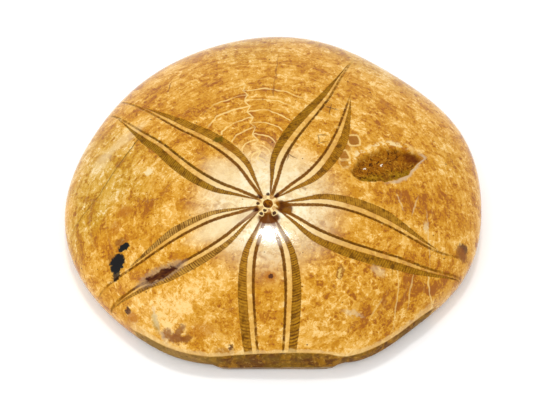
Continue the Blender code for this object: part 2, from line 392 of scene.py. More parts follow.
def hollow_share(spot, x, y):
    """1 at the middle of a hollow, 0 at its edge, below 0 outside."""
    ragged = 0.1 * bumps(x, y, 1.6, 3) + 0.05 * bumps(x, y, 0.6, 4)
    return 1 - ellipse(x, y, spot) + (ragged if spot[2] > LARGE else 0)


def hollows(x, y):
    depth = 0 * x
    for spot in HOLLOWS.values():
        deep, steep = spot[5:]
        inside = smooth(steep * hollow_share(spot, x, y))
        rough = 0.1 * bumps(x, y, 0.7, 7) if spot[2] > LARGE else 0
        depth = depth + inside * (deep + rough)
    depth = depth + dent_depth(x, y)
    for pore_x, pore_y, _ in DISC_PORES:
        far = np.hypot(x - pore_x, y - pore_y) / DISC_PORE_RADIUS
        depth = depth + DISC_PORE_DEPTH * smooth(1.2 - far)
    return depth


def pit_cover(x, y):
    """1 inside the disc's pits and pores, 0 outside them."""
    cover = 0 * x
    for name in ("disc_pit", "disc_right", "disc_front"):
        cover = np.maximum(cover, smooth(3 * hollow_share(HOLLOWS[name], x, y) + 1))
    for pore_x, pore_y, _ in DISC_PORES:
        cover = np.maximum(cover, smooth(2 - np.hypot(x - pore_x, y - pore_y) / DISC_PORE_RADIUS))
    return cover


def to_plan(radius, angle):
    return APEX[0] + radius * np.cos(angle), APEX[1] + radius * np.sin(angle)


def dome_normal(radius, angle):
    delta = 0.05
    x, y = to_plan(radius, angle)

    def height_at(px, py):
        east, north = px - APEX[0], py - APEX[1]
        return dome_height(np.hypot(east, north), np.arctan2(north, east))

    slope_x = (height_at(x + delta, y) - height_at(x - delta, y)) / (2 * delta)
    slope_y = (height_at(x, y + delta) - height_at(x, y - delta)) / (2 * delta)
    normal = np.stack([-slope_x, -slope_y, np.ones_like(x)], axis=-1)
    return normal / np.linalg.norm(normal, axis=-1, keepdims=True)


def crest_share(angle):
    """1 where the flat cuts high into the dome, 0 at the rounded margin."""
    edge = plain_dome(cut_outline(angle), angle, EDGE_HEIGHT)
    return smooth((edge - EDGE_HEIGHT) / 1.5)


def dome_points(radius, angle):
    x, y = to_plan(radius, angle)
    points = np.stack([x, y, dome_height(radius, angle)], axis=-1)
    from_edge = cut_outline(angle) - radius
    depth = smooth(from_edge / 1.5) * groove(radius, angle) + hollows(x, y)
    depth = depth + 0.05 * bumps(x, y, 9, 8) * smooth(from_edge / 4)
    worn = 1 + 0.6 * bumps(x, y, 1.4, 9)
    depth = depth + 0.12 * worn * crest_window(angle) * np.exp(-(from_edge / CREST_ROUND) ** 2)
    return points - dome_normal(radius, angle) * depth[..., None]


def foot_points(share, angle):
    """Points between the dome's edge (share 0) and the rest plane (share 1)."""
    reach = cut_outline(angle)
    edge = dome_height(reach, angle)
    crest = crest_share(angle)
    inset = FOOT_INSET + (FLAT_FOOT_INSET - FOOT_INSET) * crest
    swing = share * pi / 2
    radius = reach - inset * (1 - cos(swing))
    height = edge * (1 - sin(swing))
    aside = np.degrees(angle) % 360 - CHIP_DIRECTION
    chip = np.exp(-(aside / CHIP_SPREAD) ** 2) * sin(swing)
    radius = radius - CHIP_DEPTH * chip * (1 + 0.4 * np.sin(2.7 * aside))
    worn = 1 + 0.6 * bumps(reach * np.cos(angle), 0 * angle, 1.4, 9)
    window = crest_window(angle)
    radius = radius - 0.12 * worn * window * np.exp(-((edge - height) / 0.5) ** 2)
    around = angle * reach
    uneven = bumps(around, height, 2.2, 12) + 0.5 * bumps(around, height, 0.9, 13)
    radius = radius - 0.12 * uneven * crest * sin(pi * min(1, share * 1.2))
    height = height - 0.1 * worn * window * np.exp(-((edge - height) / 0.3) ** 2)
    x, y = to_plan(radius, angle)
    return np.stack([x, y, height], axis=-1)


def sole_height(x, y, share):
    inward = np.clip(1 - share / REST_BAND, 0, 1)
    height = SOLE_RISE * smooth(inward)
    from_mouth = np.hypot(x - MOUTH[0], y - MOUTH[1])
    height = height + MOUTH_DEPTH * smooth(1.3 * (1 - from_mouth / MOUTH_RADIUS))
    bearing = np.arctan2(y - MOUTH[1], x - MOUTH[0])
    for petal in PETALS:
        away = (bearing - radians(petal[0]) + pi) % TURN - pi
        across = np.abs(away) * from_mouth
        furrow = smooth(1 - across / FURROW_WIDTH) * smooth(4 * inward)
        height = height + FURROW_DEPTH * furrow * smooth(from_mouth / MOUTH_RADIUS - 0.6)
    from_vent = np.hypot(x - VENT[0], y - VENT[1])
    vent = VENT_DEPTH * smooth(1.4 * (1 - from_vent / VENT_RADIUS)) * (share < REST_BAND)
    return height + vent + 0.08 * smooth(3 * inward) * bumps(x, y, 3, 10)


def sole_points(share, foot):
    plan = MOUTH + share * (foot[:, :2] - MOUTH)
    return np.column_stack([plan, sole_height(plan[:, 0], plan[:, 1], share)])


def grid_faces(rings, columns):
    """Quads between rings, and the two caps' triangles; vertex 0 is the apex, the last is the mouth."""
    faces = []
    for column in range(columns):
        after = (column + 1) % columns
        faces.append((0, 1 + column, 1 + after))
        for ring in range(rings - 1):
            here, below = 1 + ring * columns, 1 + (ring + 1) * columns
            faces.append((here + column, below + column, below + after, here + after))
        last = 1 + (rings - 1) * columns
        faces.append((last + column, 1 + rings * columns, last + after))
    return faces


def point_attribute(mesh, name, values):
    layer = mesh.attributes.new(name, "FLOAT", "POINT")
    layer.data.foreach_set("value", np.asarray(values, np.float32))


def placed(name, data):
    made = bpy.data.objects.new(name, data)
    bpy.context.scene.collection.objects.link(made)
    return made


def build_test():
    radius, angle = dome_grid()
    points = dome_points(radius, angle)
    feet = [foot_points(share, angle[-1]) for share in FOOT_SHARES]
    soles = [sole_points(share, feet[-1]) for share in SOLE_SHARES]
    apex = (*APEX, HEIGHT - float(hollows(*APEX)))
    mouth = (*MOUTH, float(sole_height(*MOUTH, 0)))
    rings = list(points) + feet + soles
    stacked = np.concatenate([[apex]] + rings + [[mouth]])
    mesh = bpy.data.meshes.new("fossil_test")
    mesh.from_pydata(stacked * MM, [], grid_faces(len(rings), points.shape[1]))
    mesh.shade_smooth()
    add_measures(mesh, radius, angle, len(feet), len(soles))
    return placed("fossil_test", mesh)


def regions(x, y, spots):
    """Sum of soft elliptical regions, each with its strength and softness last."""
    ragged = 0.25 * bumps(x, y, 2.6, 21) + 0.12 * bumps(x, y, 1.1, 22)
    total = np.zeros_like(x)
    for spot in spots:
        strength, soft = spot[5:]
        total = total + strength * smooth((1 + 0.5 * soft - ellipse(x, y, spot) - ragged) / soft)
    return total


def add_measures(mesh, radius, angle, feet, soles):
    """Vertex measures for the stone's pattern, in millimetres or shares."""
    plan = to_plan(radius, angle)
    across, signed, line, inner, outer, number = petal_measures(radius, angle)
    share, lateral, gap = gap_measures(radius, angle)
    band_reach, line_reach = reaches(radius, number, signed)
    values = {
        "line_off": across - line,
        "band_in": across - inner,
        "band_out": outer - across,
        "petal_side": signed,
        "band_reach": band_reach,
        "line_reach": line_reach,
        "dent": dent_inside(*plan),
        "gap_reach": np.abs(share),
        "gap_lateral": lateral,
        "gap_number": gap,
        "from_edge": cut_outline(angle) - radius,
        "pit": pit_cover(*plan),
    }
    values |= {name: by_side(number, signed, table) for name, table in BAND_SHARES.items()}
    values |= {name: regions(*plan, spots) for name, spots in TINTS.items()}
    # What the apex, the foot and the sole have of each measure
    defaults = {"line_off": 9, "band_in": 9, "band_out": -9, "gap_reach": 1, "dent": -9}
    dome, columns = radius.size, radius.shape[1]
    beneath = (feet + soles) * columns + 1
    for name, value in values.items():
        plain = defaults.get(name, 0)
        first = value[0].mean() if name == "from_edge" else plain
        point_attribute(mesh, name, np.concatenate([[first], value.ravel(), np.full(beneath, plain)]))
    crest = crest_window(angle)
    crest = np.concatenate([[0], crest.ravel(), np.tile(crest[-1], feet), np.zeros(soles * columns + 1)])
    order = np.arange(len(crest))
    point_attribute(mesh, "crest", crest)
    point_attribute(mesh, "wall", order > dome)
    point_attribute(mesh, "sole", order > dome + (feet - 1) * columns)


SHEEN, LIGHT = 0.016, 1.25


def tone(red, green, blue):
    """Colour of the stone that shows the given screen values, 0 to 255, under the studio light."""
    linear = []
    for value in (red, green, blue):
        value = value / 255
        value = value / 12.92 if value <= 0.04045 else ((value + 0.055) / 1.055) ** 2.4
        linear.append(max(value - SHEEN, 0.0015) / LIGHT)
    return (*linear, 1)


STONE = bpy.data.materials.new("fossil_stone")
STONE.use_nodes = True
TREE = STONE.node_tree


# Short names for building the stone's node tree; each takes and gives sockets or numbers
def node(kind, **settings):
    made = TREE.nodes.new("ShaderNode" + kind)
    for name, value in settings.items():
        setattr(made, name, value)
    return made


def feed(socket, value):
    """Link a socket, or set a number, a vector, or a colour given by its three screen values."""
    if isinstance(value, bpy.types.NodeSocket):
        TREE.links.new(value, socket)
    elif isinstance(value, (int, float)) and socket.type in ("VECTOR", "RGBA"):
        socket.default_value = (value,) * len(socket.default_value)
    elif socket.type == "RGBA" and len(value) == 3:
        socket.default_value = tone(*value)
    else:
        socket.default_value = value


def feed_all(made, values):
    for socket, value in zip(made.inputs, values):
        feed(socket, value)
    return made.outputs[0]


def calc(operation, *values):
    return feed_all(node("Math", operation=operation), values)


def fold(operation, *values):
    return reduce(partial(calc, operation), values)


FOLDS = ("ADD", "SUBTRACT", "MULTIPLY", "MAXIMUM", "MINIMUM")
add, sub, mul, high, low = (partial(fold, kind) for kind in FOLDS)


def absolute(a):
    return calc("ABSOLUTE", a)


def rest(a):
    return calc("SUBTRACT", 1, a)


def step(value, start, end, first=0, last=1):
    """Smooth step from first to last while value goes from start to end."""
    if start > end:
        start, end, first, last = end, start, last, first
    made = node("MapRange", interpolation_type="SMOOTHSTEP")
    return feed_all(made, (value, start, end, first, last))


def measure(name):
    return node("Attribute", attribute_name=name).outputs["Fac"]


def vector(operation, *values):
    made = node("VectorMath", operation=operation)
    feed_all(made, values)
    return made.outputs["Value" if operation in ("LENGTH", "DISTANCE", "DOT_PRODUCT") else "Vector"]


def dot(a, b):
    return vector("DOT_PRODUCT", a, b)


def away_from(place, x, y):
    return vector("SUBTRACT", place, (x, y, 0))


def parts(place):
    made = node("SeparateXYZ")
    feed(made.inputs[0], place)
    return made.outputs


def join(x, y, z=0):
    return feed_all(node("CombineXYZ"), (x, y, z))


def noise(place, size, offset=0, detail=2, rough=0.5, warp=0):
    """Noise about 0.5 whose features are about size millimetres wide."""
    made = node("TexNoise", noise_dimensions="4D" if offset else "3D")
    names = ("Vector", "Scale", "Detail", "Roughness", "Distortion") + ("W",) * bool(offset)
    for name, value in zip(names, (place, 1 / size, detail, rough, warp, offset)):
        feed(made.inputs[name], value)
    return made.outputs["Fac"]


def cells(place, size, feature="DISTANCE_TO_EDGE", output="Distance"):
    made = node("TexVoronoi", feature=feature)
    feed(made.inputs["Vector"], place)
    feed(made.inputs["Scale"], 1 / size)
    return made.outputs[output]


def random(place):
    return feed_all(node("TexWhiteNoise", noise_dimensions="3D"), (place,))


def ramp(value, tones):
    """Colour from a list of places and colours along value."""
    made = node("ValToRGB")
    stops = made.color_ramp.elements
    for _ in range(len(tones) - 2):
        stops.new(0.5)
    for stop, (at, colour) in zip(stops, tones):
        stop.position = at
        stop.color = tone(*colour)
    feed(made.inputs[0], value)
    return made.outputs[0]


def mix(share, a, b, blend="MIX"):
    made = node("Mix", data_type="RGBA", blend_type=blend)
    for index, value in zip((0, 6, 7), (share, a, b)):
        feed(made.inputs[index], value)
    return made.outputs[2]


def lay(under, over, *limits):
    """One colour over another where the smooth step with these limits is 1."""
    return mix(step(*limits), under, over)


PALE = (245, 224, 172)
CREAM = (232, 190, 100)
AMBER = (184, 112, 16)
BROWN = (138, 80, 10)
UMBER = (78, 44, 8)
OLIVE = (112, 88, 30)
BLACK = (36, 34, 36)
GREY = (222, 200, 160)
SUTURE = (250, 216, 140)
# The ground from its darkest flecks to its palest ones
GROUND_TONES = (
    (0, (166, 98, 5)), (0.15, (190, 122, 14)), (0.32, (205, 140, 34)), (0.5, (217, 155, 52)),
    (0.68, (230, 172, 72)), (0.86, (242, 190, 102)), (1, (253, 212, 136)),
)
# Stains: x, y, half length, half width, long axis in degrees, colour, strength, edge softness
STAINS = (
    (-28.6, -18.8, 0.7, 1, 0, BROWN, 0.6, 0.8), (-27, -16.4, 0.9, 0.8, 0, BROWN, 0.75, 0.8),
    (-26.4, -17.5, 0.95, 0.7, 20, BLACK, 1, 0.3), (-27.5, -19.9, 1.3, 1.6, -8, BLACK, 1, 0.3),
    (-27.7, -21.8, 0.65, 0.85, 0, BLACK, 0.9, 0.4), (33.9, -14.7, 0.75, 0.75, 10, UMBER, 0.8, 0.5),
    (33.4, -15.8, 1, 1.2, 10, BROWN, 0.85, 0.7), (-25.6, -27.4, 0.75, 0.38, -35, UMBER, 0.9, 0.5),
    (-24.6, -28.6, 1.2, 0.6, -30, AMBER, 0.75, 0.8),
    (-20.6, -30.3, 0.5, 1.2, 25, (156, 140, 90), 0.5, 1),
    (-18.7, -31.8, 0.9, 0.6, -20, BROWN, 0.8, 0.8), (-17, -32.7, 1.5, 0.6, -10, BROWN, 0.9, 0.8),
    (-16.5, -31.9, 1.1, 0.5, 20, BROWN, 0.8, 0.8), (-15.3, -33, 1, 0.5, 0, BROWN, 0.85, 0.8),
    (-12.5, -32.3, 2.4, 0.8, 0, AMBER, 0.45, 1), (-0.6, -25.5, 1.1, 0.95, 0, AMBER, 0.8, 0.8),
    (-0.6, -25.5, 0.36, 0.36, 0, UMBER, 0.9, 0.6), (-9.9, 2.8, 0.95, 0.65, 20, OLIVE, 0.9, 0.5),
    (-8, 0.8, 1.3, 0.8, -25, BROWN, 0.5, 0.9), (-26.3, -10.8, 1.5, 1.1, 0, AMBER, 0.7, 0.8),
    (-28, -13.4, 0.9, 1.3, 0, AMBER, 0.5, 0.8), (-7.4, -34.4, 0.4, 0.3, 0, UMBER, 0.85, 0.6),
    (-8.6, -34.9, 1.7, 0.45, 0, BROWN, 0.5, 0.9), (-20.6, -29.6, 0.25, 1.5, 20, GREY, 0.45, 1),
    (-19.2, -32.2, 0.3, 1.3, 35, GREY, 0.4, 1), (26.9, -13.5, 0.35, 1, 0, PALE, 0.5, 1),
    (18.2, -23.1, 1.2, 0.8, -20, GREY, 0.4, 1), (13.8, -30.2, 1.7, 0.3, 0, GREY, 0.45, 1),
    (5.4, -8.6, 0.5, 0.4, 0, BROWN, 0.5, 0.7), (11.5, -24.3, 0.62, 1.25, -12, BROWN, 0.65, 0.4),
    (11.5, -24.3, 0.3, 0.85, -12, CREAM, 0.9, 0.5), (-22.3, -3.1, 0.75, 0.7, 0, PALE, 0.8, 0.5),
)
# Broad tints, each: x, y, half length, half width, long axis in degrees, strength, edge softness;
# below 0 the shade is darker, above 0 paler
TINTS = {
    "shade": (
        (29, -2, 9, 15, 0, -0.08, 1.4), (27.5, -23.5, 6, 5, 30, -0.16, 1.2),
        (-3, 6, 9, 10, 0, -0.06, 1.4), (-14, 10, 9, 8, 0, -0.06, 1.4), (12, -26, 8, 8, 0, -0.03, 1.2),
        (11, -20, 5, 3, -20, -0.22, 1.2), (6.5, -20, 3.5, 4, 0, -0.12, 1.2),
        (-0.9, -27, 2.3, 8.5, 0, -0.2, 0.8), (-16, -29, 8, 4, 20, 0.24, 1.2),
        (-9, -24.5, 4, 3, 10, -0.04, 1.2), (20, 12, 8, 8, 0, 0.1, 1.4),
        (24.5, -10, 5, 2.5, -20, -0.12, 1.2), (15, -31, 7, 2.6, 0, -0.02, 1.2),
        (-24, -9.5, 3, 2.2, 0, -0.14, 1), (5.5, 1.2, 3, 5.5, -28, 0.14, 1),
        (-4, -30, 24, 6, 0, 0.08, 1.4), (19.5, -27.5, 4.5, 3, 30, -0.26, 1),
        (25.5, -21.5, 4, 2.5, 10, -0.2, 1), (10, 14, 2.2, 3.5, -28, -0.1, 1),
    ),
    # Greenish tint, multiplied in: partly the stone's own hue, and along the back margin a painted rim
    # glow
    "sage_and_rim_glow": (
        (-31.5, 1, 6, 10, 20, 0.7, 1.2), (-26, -3, 8, 9, 0, 0.35, 1.2),
        (-33.5, -9, 4, 8, -8, 0.8, 1), (-4.5, 26.5, 7, 3.2, 0, 0.25, 1.4),
        (-10, 29, 14, 4, 0, 0.15, 1.4), (32, 3, 3, 4.5, 0, 0.25, 1.4),
        (15, 28, 14, 3.5, -35, 0.6, 1.2), (-8, 32, 12, 2.5, 0, 0.4, 1.2),
    ),
    # Pale cream patches: round the disc a painted sheen standing in for the soft reflection there, at the
    # left the stone's own pale patches
    "chalk_and_sheen": (
        (-26.6, 6.5, 4.4, 1.2, 42, 0.4, 0.8), (-31, 2, 2.4, 1.3, 60, 0.35, 1),
        (-8, -7, 6, 2.6, -44, 0.5, 1), (-10, -16.3, 5, 1.7, 27, 0.65, 1),
        (1.6, -5.2, 2.2, 4.5, -28, 0.45, 1.2),
    ),
}
SAGE_AND_RIM_GLOW = (0.93, 1.1, 1.7, 1)
CHALK_AND_SHEEN = (246, 222, 172)
DISC_STAINS = (
    (-0.9, -16.3, 1.7, 1.1, 0, (164, 142, 136), 0.6, 1.2),
    (-5, -14.6, 2.4, 0.7, 30, (206, 178, 150), 0.35, 1.2),
    (-0.9, -15, 1.9, 1.15, 0, (116, 68, 4), 0.94, 0.35), (0.3, -14.6, 0.9, 0.6, -30, UMBER, 0.6, 0.9),
    (1.7, -12.75, 1.75, 1.25, -32, (120, 74, 4), 0.96, 0.3),
    (1, -12.5, 1, 0.9, -30, (86, 50, 2), 0.7, 0.6),
    (2.3, -13.3, 0.8, 0.6, -30, (150, 98, 10), 0.6, 0.6),
    (-2.4, -10.7, 0.75, 0.4, 135, UMBER, 0.85, 0.7), (0.5, -10.4, 0.75, 0.4, 60, UMBER, 0.85, 0.7),
    (-2.95, -13.2, 0.8, 0.4, 25, UMBER, 0.85, 0.7),
)
# Thin seams, each: start x, y; end x, y; half width; colour; strength
CRACK = (120, 92, 36)
SEAMS = (
    (-24, 6.1, -28, -0.2, 0.09, CRACK, 0.85), (-28, -0.2, -31.2, -5.8, 0.08, CRACK, 0.75),
    (-31.2, -5.8, -36, -10.7, 0.08, CRACK, 0.6), (21.5, -20.8, 21.7, -24.6, 0.11, SUTURE, 0.5),
    (21.7, -24.6, 21, -30, 0.1, SUTURE, 0.5), (20.6, -21.2, 20.7, -23.4, 0.08, CRACK, 0.5),
    (18.7, -27.5, 16.7, -30.2, 0.1, SUTURE, 0.4), (24.4, -22.4, 23.5, -27, 0.1, SUTURE, 0.45),
    (27.1, -21.3, 27.4, -24.2, 0.13, SUTURE, 0.65), (27.4, -24.2, 28.6, -26.2, 0.12, SUTURE, 0.55),
    (21.9, -8, 22.9, -10.8, 0.12, PALE, 0.35), (24.6, -11.3, 25.6, -8, 0.11, PALE, 0.35),
    (27.2, -10.8, 27.5, -19.3, 0.09, PALE, 0.3), (2.2, -0.8, 4, -1.9, 0.1, UMBER, 0.75),
    (2.7, -0.1, 2.4, -2.4, 0.08, UMBER, 0.7), (9.5, 11, 11.5, 10.4, 0.09, UMBER, 0.8),
    (10.5, 11.9, 10, 9.2, 0.08, UMBER, 0.7), (7.8, 3.5, 9.6, 3.9, 0.09, UMBER, 0.7),
    (7.8, 3.5, 8.2, 1.9, 0.08, UMBER, 0.6), (8.2, 1.9, 9.6, 2.4, 0.08, UMBER, 0.6),
    (0.9, 24.5, 0.1, 16.2, 0.12, BROWN, 0.5), (0.1, 16.2, 0, 13.6, 0.14, BROWN, 0.6),
    (-18.9, 19.6, -19.5, 17, 0.12, BROWN, 0.75),
)


def turned(place, x, y, degrees, length=1, width=1):
    """Offsets from x, y along and across a direction, in shares of a length and a width."""
    turn = radians(degrees)
    shifted = away_from(place, x, y)
    along = dot(shifted, (cos(turn) / length, sin(turn) / length, 0))
    return along, dot(shifted, (-sin(turn) / width, cos(turn) / width, 0))


def from_spot(place, spot):
    """1 at a spot's rim, 0 at its middle."""
    x, y, length, width, degrees = spot[:5]
    return vector("LENGTH", join(*turned(place, x, y, degrees, length, width)))


def painted(place, spot, colour):
    """Colour with one spot laid over it."""
    soft = 0.5 * spot[7]
    mask = step(from_spot(place, spot), 1 + soft, max(0, 1 - soft), 0, spot[6])
    return mix(mask, colour, spot[5])


def seam_spot(seam):
    """A thin seam between two places as a long narrow spot."""
    x1, y1, x2, y2, half, colour, strength = seam
    length = hypot(x2 - x1, y2 - y1)
    degrees = in_degrees(atan2(y2 - y1, x2 - x1))
    return (0.5 * (x1 + x2), 0.5 * (y1 + y2), 0.56 * length, 1.2 * half, degrees, colour, strength, 0.9)


def ground(place, plan, from_apex, shift):
    """The stone between and inside the petals: amber to cream mottling, paler towards the disc."""
    middling = noise(place, 3, 20, 6, 0.7, 0.6)
    crisp = noise(place, 1.2, 40, 5, 0.72, 1)
    clear = noise(place, 1.5, 50, 5, 0.72, 1.2)
    heading = vector("MULTIPLY", vector("NORMALIZE", plan), 7)
    ringed = vector("ADD", heading, join(0, 0, mul(from_apex, 1.15)))
    streak = noise(ringed, 1, 10, 6, 0.7, 0.5)
    hair = noise(vector("MULTIPLY", ringed, 2.6), 1, 30, 4, 0.7, 0.4)
    outer = step(from_apex, 9, 22)
    vein = step(absolute(sub(noise(place, 2.2, 70, 4, 0.6, 1.5), 0.5)), 0.03, 0.006)
    vein = mul(vein, step(noise(place, 5, 75), 0.42, 0.58), 0.24)
    value = add(
        0.5, shift, vein, step(noise(place, 9, 0, 3, 0.55, 0.4), 0.35, 0.65, -0.1, 0.1),
        step(middling, 0.45, 0.55, -0.2, 0.17), mul(step(streak, 0.45, 0.55, 0.1, -0.11), outer),
        step(crisp, 0.55, 0.59, 0, -0.28), step(clear, 0.41, 0.445, 0.33, 0),
        mul(step(hair, 0.57, 0.63, 0, -0.11), outer),
        step(noise(place, 0.4, 60, 3, 0.7), 0.35, 0.65, -0.1, 0.1),
    )
    colour = ramp(value, GROUND_TONES)
    centre = mul(step(from_apex, 4.5, 16, 1, 0), rest(measure("sole")))
    paling = mul(centre, step(crisp, 0.45, 0.58, 0.98, 0.65))
    pale = mix(step(middling, 0.42, 0.58), (253, 232, 180), (255, 247, 214))
    return mix(paling, colour, pale)


# Where the small cells show: x, y, half length, half width, long axis in degrees, strength
NETWORKS = ((15, -27, 13, 8.5, 0, 1), (29, -6, 7, 9, 0, 0.35), (-16, -27, 9, 5, 15, 0.45))


def network(place, flat):
    """Shift for small darker cells with pale edges, strongest in front of the disc at the right."""
    bend = noise(place, 1.3, 60)
    warped = vector("ADD", place, join(bend, mul(bend, -1.3)))
    edge = cells(warped, 1.25)
    shares = (step(from_spot(flat, spot), 1.2, 0.6, 0, share) for *spot, share in NETWORKS)
    region = mul(high(*shares), step(noise(place, 4, 80), 0.4, 0.58))
    chosen = step(random(cells(warped, 1.25, "F1", "Position")), 0.5, 0.7)
    cell = mul(step(edge, 0.14, 0.26), region, chosen)
    return add(mul(cell, -0.26), mul(step(edge, 0.12, 0.04), region, 0.24))


# Half the height of a plate between the petals
PLATE = 1.45


def sutures(place, flat, from_apex):
    """Plates between the petals, chevrons beside a zigzag middle: shift and the seams' strength."""
    share, lateral, number = (measure("gap_" + name) for name in ("reach", "lateral", "number"))
    wobble = mul(sub(noise(place, 2.4, 100), 0.5), 1.6)
    rise = add(from_apex, mul(share, share, 2.4), wobble)
    zigzag = calc("PINGPONG", rise, PLATE)
    middle = sub(lateral, mul(sub(zigzag, 0.72), 0.55))
    right = calc("GREATER_THAN", middle, 0)
    row = calc("DIVIDE", add(rise, mul(right, PLATE)), 2 * PLATE)
    seam = mul(absolute(sub(calc("FRACT", row), 0.5)), 2 * PLATE)
    inside = step(share, 0.995, 0.93)
    fading = step(noise(place, 4, 120, 3, 0.6), 0.38, 0.52)
    back = step(from_spot(flat, (-2.5, 7, 9, 10, 0)), 1.3, 0.75, 0.28, 1)
    strength = mul(inside, high(fading, sub(back, 0.5)), back, step(from_apex, 6, 10))
    plate = random(join(calc("FLOOR", row), right, number))
    shift = mul(step(plate, 0.2, 0.9, 0.14, -0.3), strength)
    beside = mul(step(seam, 0.15, 0.3), step(seam, 0.9, 0.35), strength)
    shift = add(shift, mul(beside, -0.18))
    line = high(step(seam, 0.2, 0.08), step(absolute(middle), 0.19, 0.08))
    return shift, mul(line, strength, step(back, 0.3, 0.8, 0.25, 0.8))


# Square plates: x, y, half size, degrees, strength
FRAMED = (
    (14.4, 3.1, 0.85, 10, 0.85), (13.1, 1.1, 0.6, 15, 0.4), (12.5, -0.7, 0.75, 20, 0.8),
    (12.6, -2.5, 0.6, 20, 0.4),
)


def framed_cells(flat, colour):
    """Square brown plates with pale frames beside the clockwise band of the back right petal."""
    for x, y, size, degrees, strength in FRAMED:
        along, across = turned(flat, x, y, degrees)
        far = high(absolute(along), mul(absolute(across), 0.8))
        far = add(mul(far, 0.6), mul(vector("LENGTH", join(along, across)), 0.32))
        border = mul(step(far, size + 0.4, size + 0.22), step(far, size - 0.05, size + 0.1))
        colour = mix(mul(border, 0.75 * strength), colour, SUTURE)
        colour = lay(colour, (158, 98, 14), far, size + 0.12, size - 0.12, 0, strength)
    return colour


def petal_marks(place, from_apex, colour, ragged):
    """The bands with their slits, the inner rows of pores and the pale strips between them."""
    names = ("band_in", "band_out", "line_off", "petal_side", "olive", "pale_ground", "line_reach")
    band_in, band_out, line_off, side, olive, pale, reach = map(measure, names)
    rough_in, rough_out = (add(value, mul(ragged, 0.14)) for value in (band_in, band_out))
    inside = low(step(rough_in, -0.1, 0.06), step(rough_out, -0.1, 0.08))
    strength = mul(inside, step(measure("band_reach"), 0, 0.4))
    patchy = noise(place, 1.8, 160, 4, 0.65)
    base = mix(olive, (188, 130, 32), (166, 122, 36))
    base = mix(mul(pale, 0.85), base, (220, 174, 92))
    base = lay(base, (138, 88, 12), patchy, 0.42, 0.6, 0, 0.5)
    base = lay(base, (104, 66, 8), noise(place, 0.5, 170, 3, 0.7), 0.5, 0.6, 0, 0.45)
    count = add(calc("DIVIDE", from_apex, SLIT_PITCH), mul(ragged, 0.14))
    darkness = random(join(calc("FLOOR", count), olive, pale))
    slit = step(absolute(sub(calc("FRACT", count), 0.5)), 0.36, 0.16)
    uneven = noise(place, 0.8, 180, 3, 0.65)
    slit = mul(slit, step(uneven, 0.3, 0.6, 0.45, 1), step(darkness, 0.1, 0.9, 0.4, 1))
    share = mul(measure("slit_share"), step(patchy, 0.7, 0.4, 0.7, 1))
    slit = mul(slit, share)
    base = lay(base, (88, 60, 8), patchy, 0.56, 0.64, 0, 0.65)
    band = mix(slit, base, mix(olive, (92, 50, 4), (72, 52, 8)))
    band = lay(band, (148, 98, 28), from_apex, 9, 3)
    lip = mul(step(low(absolute(rough_in), absolute(rough_out)), 0.16, 0.02), 0.45)
    band = mix(lip, band, (110, 66, 8))
    colour = mix(mul(strength, 0.98), colour, band)
    strip = mul(step(line_off, 0.1, 0.35), step(band_in, 0, -0.2), reach)
    pale_strip = mix(step(from_apex, 4, 20), (250, 220, 156), (238, 192, 108))
    strip = mul(strip, step(from_apex, 6, 20, 0.75, 0.45), step(patchy, 0.35, 0.5, 0.5, 1))
    colour = mix(strip, colour, pale_strip)
    bead = calc("SINE", add(mul(from_apex, pi / SLIT_PITCH), side))
    far = add(absolute(line_off), mul(ragged, 0.14), mul(bead, -0.012))
    broad = mul(step(from_apex, 5, 22, 0.34, 0.23), step(reach, 0, 0.6, 0.45, 1))
    thin = step(sub(far, broad), 0.07, -0.07)
    dashes = step(noise(place, 0.9, 200, 2, 0.6), 0.38, 0.5, 0.45, 1)
    steady = step(from_apex, 26, 17)
    shade = mul(thin, step(reach, 0, 0.5, 0.1, 1), step(reach, 0, 0.04), high(steady, dashes))
    shade = mul(shade, step(from_apex, 25, 33, 1, 0.55))
    core = mul(step(far, 0.2, 0.08), step(uneven, 0.45, 0.56), shade)
    brown = mix(olive, (132, 82, 10), (118, 84, 16))
    brown = lay(brown, (150, 96, 22), from_apex, 11, 4, 0, 0.75)
    colour = mix(mul(shade, 0.97), colour, brown)
    colour = mix(mul(core, 0.55), colour, (78, 48, 6))
    return colour, strength, shade


def disc_marks(flat, wobble, colour):
    """Pale star about the disc's middle, its small pores and dark pits."""
    for spot in DISC_STAINS:
        colour = painted(flat, spot, colour)
    middle = away_from(flat, *HOLLOWS["disc_pit"][:2])
    far = vector("LENGTH", middle)
    east, north, _ = parts(middle)
    bearing = calc("ARCTAN2", north, east)
    arms = step(calc("COSINE", mul(add(bearing, 0.25), 7)), 0, 0.9)
    around = mul(step(far, 0.9, 1.1), step(far, 2.3, 1.6))
    star = mix(step(wobble, -0.05, 0.1), (176, 112, 24), (226, 180, 104))
    colour = mix(mul(around, 0.75), colour, star)
    rim = add(1.04, mul(arms, 0.7))
    ring = mul(step(far, 0.86, 0.94), step(sub(far, rim), 0.1, -0.06))
    colour = mix(mul(ring, 0.95), colour, (255, 226, 160))
    pit = mix(step(wobble, -0.06, 0.06), (100, 58, 4), (160, 100, 20))
    colour = lay(colour, pit, far, 0.98, 0.86)
    for x, y, pale in DISC_PORES:
        away = vector("DISTANCE", flat, (x, y, 0))
        if pale > 0:
            halo = mul(step(away, 0.56, 0.46), step(away, 0.3, 0.38), pale)
            colour = mix(halo, colour, (255, 224, 156))
        colour = mix(mul(step(away, 0.4, 0.24), 0.92), colour, UMBER)
    return colour


